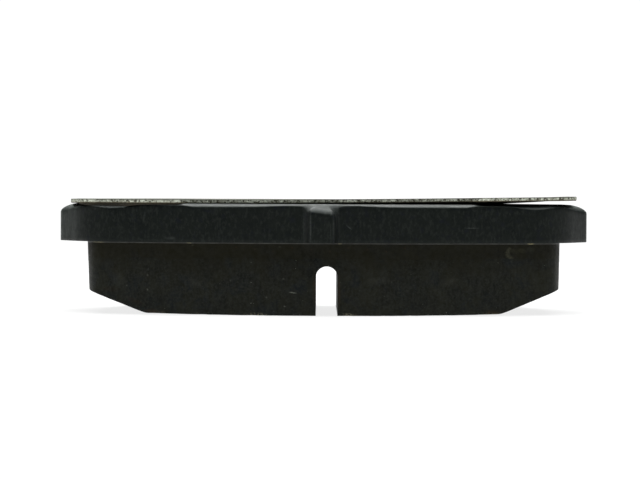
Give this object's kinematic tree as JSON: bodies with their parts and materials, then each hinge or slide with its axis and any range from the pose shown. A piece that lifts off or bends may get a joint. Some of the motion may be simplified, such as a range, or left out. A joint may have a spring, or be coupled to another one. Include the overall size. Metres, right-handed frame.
{
  "type": "disc brake pad",
  "caption": "Disc brake pad: steel backing plate with ears and locating tab, moulded friction block with slot and chamfers, and damping shim.",
  "frame": {"origin": "middle of the friction face's plane, under the centre of the whole pad's box", "axes": "+X along the pad from ear to ear, +Y from the tab on the outer arc towards the hub, +Z from the friction face to the shim"},
  "size_m": [0.087, 0.0518, 0.0192],
  "materials": {
    "plate_paint": "semi-gloss black stove paint over blanked steel, lightly scuffed",
    "bonding_adhesive": "cured resin film, pale at its edge",
    "underlayer_compound": "matt olive-brown pressed compound",
    "friction_compound": "matt dark grey pressed compound with metal and fibre flecks",
    "shim_glue": "dark pressure-sensitive adhesive",
    "shim_inner_rubber": "matt black nitrile rubber coat",
    "shim_steel": "zinc-coated steel sheet with a sheared edge",
    "shim_outer_rubber": "matt grey speckled rubber coat"
  },
  "bodies": {
    "root": {"backing_plate": "plate_paint", "adhesive_film": "bonding_adhesive", "underlayer": "underlayer_compound", "friction_block": "friction_compound", "shim_glue_layer": "shim_glue", "shim_inner_coat": "shim_inner_rubber", "shim_core": "shim_steel", "shim_outer_coat": "shim_outer_rubber"}
  },
  "joints": []
}
